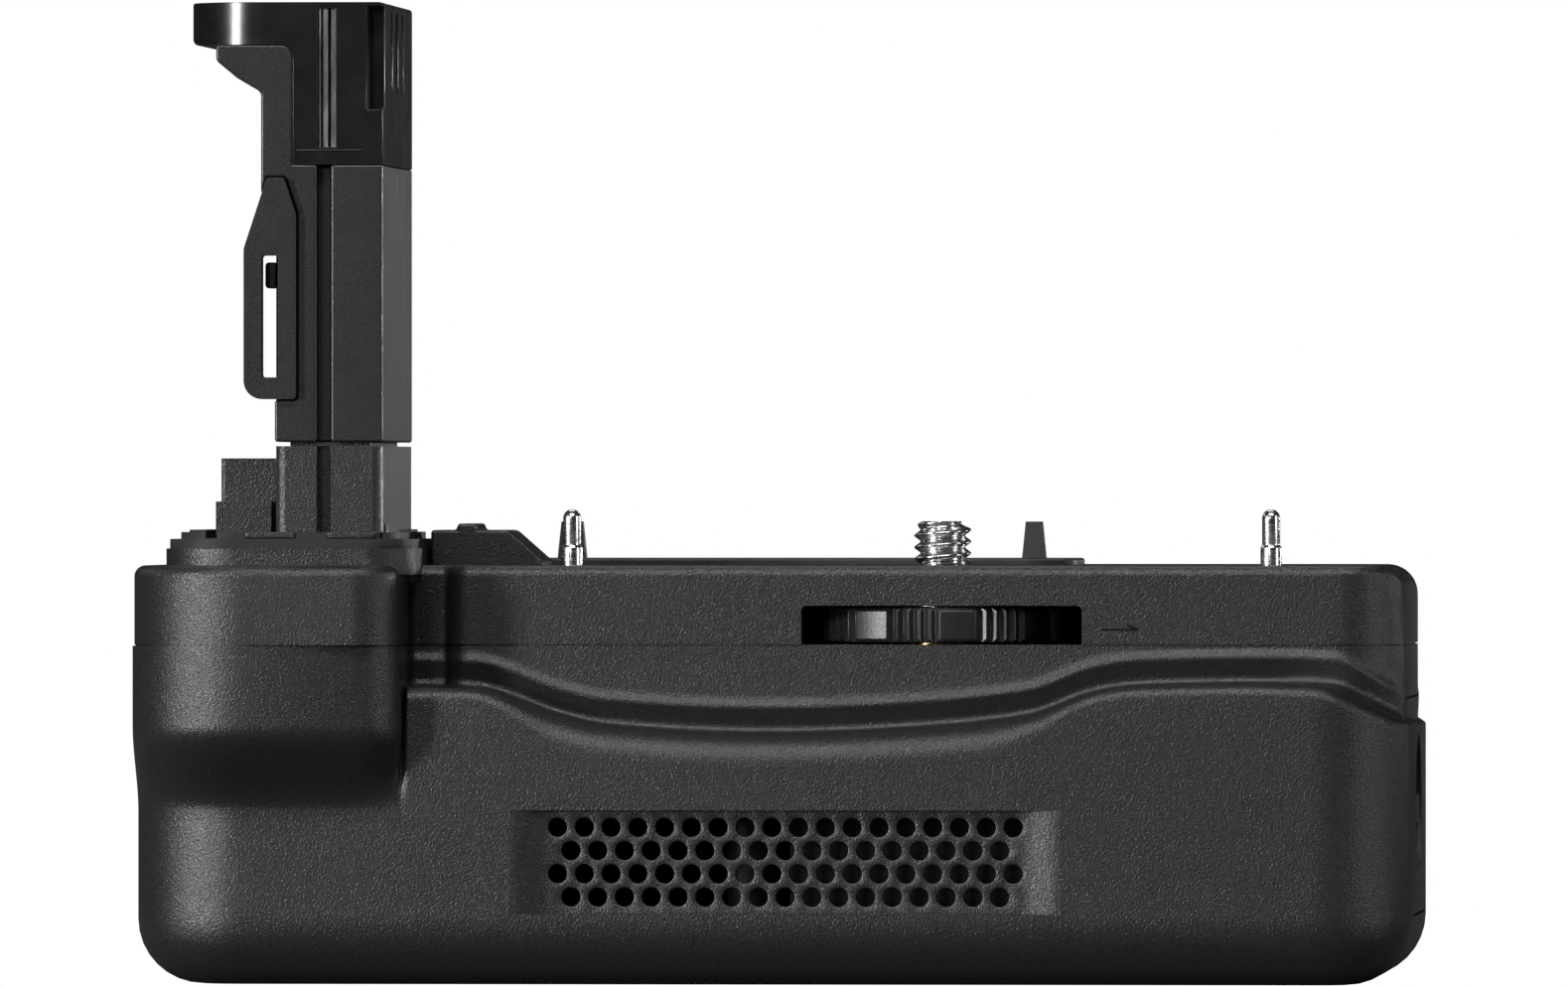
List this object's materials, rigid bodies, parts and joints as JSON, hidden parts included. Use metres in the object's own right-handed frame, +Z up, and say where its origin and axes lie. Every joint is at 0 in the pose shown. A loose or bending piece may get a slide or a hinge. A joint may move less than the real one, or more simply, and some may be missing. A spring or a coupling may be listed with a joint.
{
  "type": "battery grip",
  "caption": "Camera battery grip with a contact column, a side-loading battery magazine, a thumb-wheel camera screw and a cooling fan behind a front grille.",
  "frame": {"origin": "middle of the base: centre of the bounding box in X and Y, on the base plane in Z", "axes": "+X along the grip to its magazine end, +Y to the back, +Z up into the camera"},
  "size_m": [0.138, 0.07, 0.1059],
  "materials": {
    "textured_plastic": "fine grain moulded, matte black",
    "smooth_plastic": "satin black",
    "gloss_plastic": "polished black",
    "dark_plastic": "satin dark grey",
    "fan_plastic": "satin black",
    "black_rubber": "matte black rubber",
    "grey_foam": "foam",
    "bright_steel": "turned and polished",
    "sheet_steel": "plain sheet",
    "brass": "turned",
    "contact_metal": "plated",
    "board_green": "solder mask",
    "component_black": "moulded",
    "flex_amber": "film",
    "copper_coil": "enamelled wire",
    "magnet_grey": "sintered",
    "battery_grey": "satin"
  },
  "bodies": {
    "housing": {"lower_housing": "textured_plastic", "bay_frame": "dark_plastic", "fan_standoffs": "dark_plastic", "upper_housing": "textured_plastic", "outlet_frame": "dark_plastic", "outlet_seal": "grey_foam", "air_duct": "smooth_plastic", "recess_key": "textured_plastic", "locating_pins": "bright_steel", "chassis_plate": "sheet_steel", "wheel_bush": "brass", "tripod_socket": "bright_steel", "column_gasket": "black_rubber", "column_block": "textured_plastic", "side_block": "textured_plastic", "column_stem": "smooth_plastic", "door_holder": "smooth_plastic", "holder_peg": "smooth_plastic", "column_cap": "gloss_plastic", "cap_terminals": "contact_metal", "column_screws": "bright_steel", "circuit_board": "board_green", "board_components": "component_black", "column_flex": "flex_amber", "fan_flex": "flex_amber", "fan_frame": "fan_plastic", "fan_screws": "bright_steel", "fan_bearing": "brass", "fan_stator": "copper_coil", "bay_contact_block": "dark_plastic", "bay_contacts": "contact_metal", "housing_screws": "bright_steel"},
    "magazine": {"magazine_tray": "dark_plastic", "magazine_end_cap": "textured_plastic", "magazine_seal": "black_rubber", "magazine_screws": "bright_steel", "battery_pack": "battery_grey", "battery_terminals": "contact_metal"},
    "magazine_lock": {"turn_knob": "smooth_plastic", "knob_tongue": "sheet_steel"},
    "wheel": {"lock_wheel": "smooth_plastic", "camera_screw": "bright_steel", "wheel_clip": "sheet_steel"},
    "rotor": {"fan_rotor": "fan_plastic", "fan_shaft": "bright_steel", "fan_magnet": "magnet_grey"}
  },
  "joints": [
    {"name": "lock_wheel_turn", "type": "hinge", "parent": "housing", "child": "wheel", "pos_m": [0.0178, -0.0083, 0.03695], "axis": [0, 0, 1], "continuous": true},
    {"name": "fan_spin", "type": "hinge", "parent": "housing", "child": "rotor", "pos_m": [-0.0184, 0.004, 0.02], "axis": [0, 0, 1], "continuous": true},
    {"name": "magazine_slide", "type": "slide", "parent": "housing", "child": "magazine", "axis": [1, 0, 0], "range_m": [0, 0.066]},
    {"name": "magazine_lock_turn", "type": "hinge", "parent": "magazine", "child": "magazine_lock", "pos_m": [0.069, 0.0032, 0.0188], "axis": [1, 0, 0], "range_deg": [-90, 0]}
  ]
}
